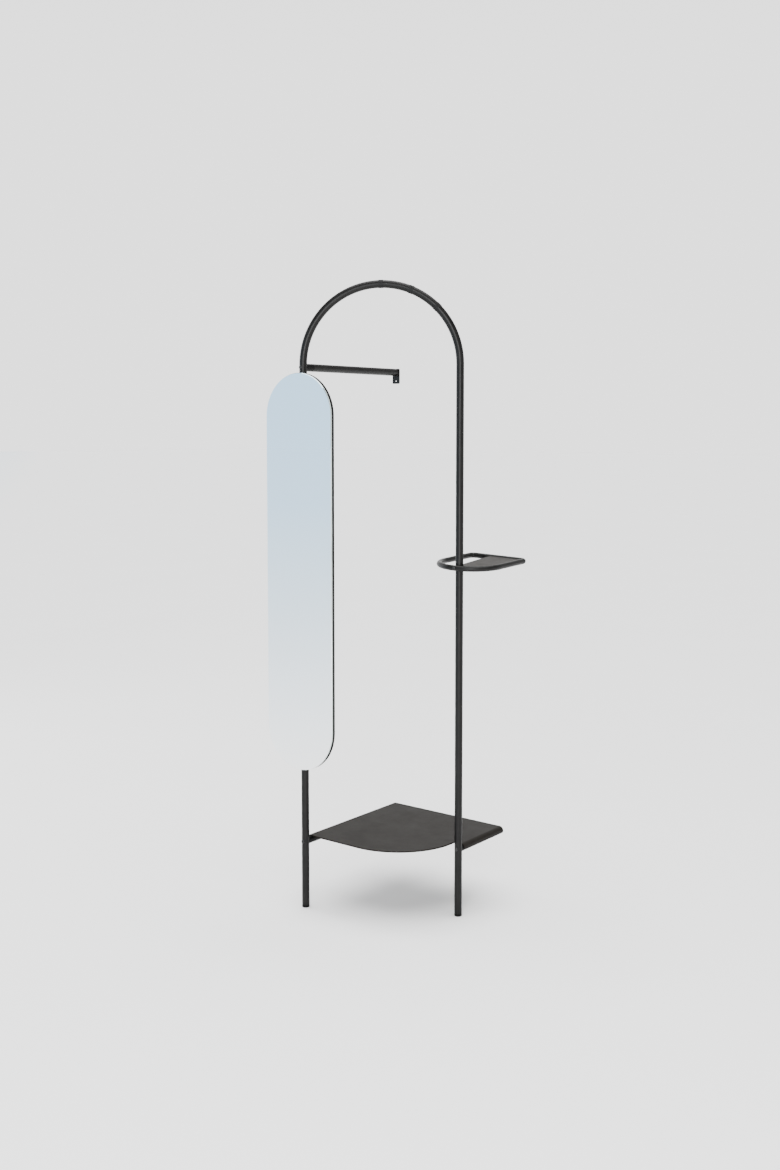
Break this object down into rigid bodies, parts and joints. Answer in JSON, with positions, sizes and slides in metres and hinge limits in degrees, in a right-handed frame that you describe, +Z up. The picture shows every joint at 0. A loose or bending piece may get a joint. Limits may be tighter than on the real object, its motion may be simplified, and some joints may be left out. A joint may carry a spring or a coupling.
{
  "type": "valet stand",
  "caption": "Freestanding-height valet stand of round steel tube that fixes to a wall: an arch for hangers, a long oval mirror on one leg, a ring tray and a low shelf.",
  "frame": {"origin": "middle of the stand's footprint, on the floor", "axes": "+Z up, +Y towards the wall, +X along the wall to the right as seen from the room"},
  "size_m": [0.603, 0.4554, 1.8008],
  "materials": {
    "painted_tube": "fine satin charcoal powder coat on round steel tube",
    "painted_sheet": "fine-textured charcoal powder coat on flat steel sheet",
    "black_plastic": "moulded black plastic",
    "black_screw": "black oxide screws",
    "mirror_face": "silvered float glass with a polished edge",
    "backing_board": "black painted fibreboard",
    "rubber": "black rubber strip"
  },
  "bodies": {
    "frame": {"upper_hoop": "painted_tube", "left_lower_leg": "painted_tube", "right_lower_leg": "painted_tube", "left_leg_spigot": "black_screw", "right_leg_spigot": "black_screw", "spigot_grub_screws": "black_screw", "left_foot_glide": "black_plastic", "right_foot_glide": "black_plastic", "wall_arm": "painted_tube", "arm_connector": "black_plastic", "arm_wall_plate": "painted_tube", "left_shelf_rail": "painted_tube", "right_shelf_rail": "painted_tube", "left_rail_connector": "black_plastic", "right_rail_connector": "black_plastic", "left_rail_end_plug": "black_plastic", "right_rail_end_plug": "black_plastic", "frame_bolts": "black_screw", "shelf_sheet": "painted_sheet", "mirror_stop_screw": "black_screw", "tray_ring": "painted_tube", "tray_plate": "painted_sheet", "tray_bolt": "black_screw", "top_hanger_stop": "rubber", "middle_hanger_stop": "rubber", "side_hanger_stop": "rubber"},
    "mirror": {"mirror_glass": "mirror_face", "mirror_backing": "backing_board", "upper_mirror_strap": "painted_tube", "lower_mirror_strap": "painted_tube", "upper_strap_liner": "rubber", "lower_strap_liner": "rubber", "mirror_strap_screws": "black_screw"}
  },
  "joints": [
    {"name": "mirror_swivel", "type": "hinge", "parent": "frame", "child": "mirror", "pos_m": [-0.18047, -0.20435, 0.9775], "axis": [0, 0, 1], "range_deg": [-75, 75]}
  ]
}
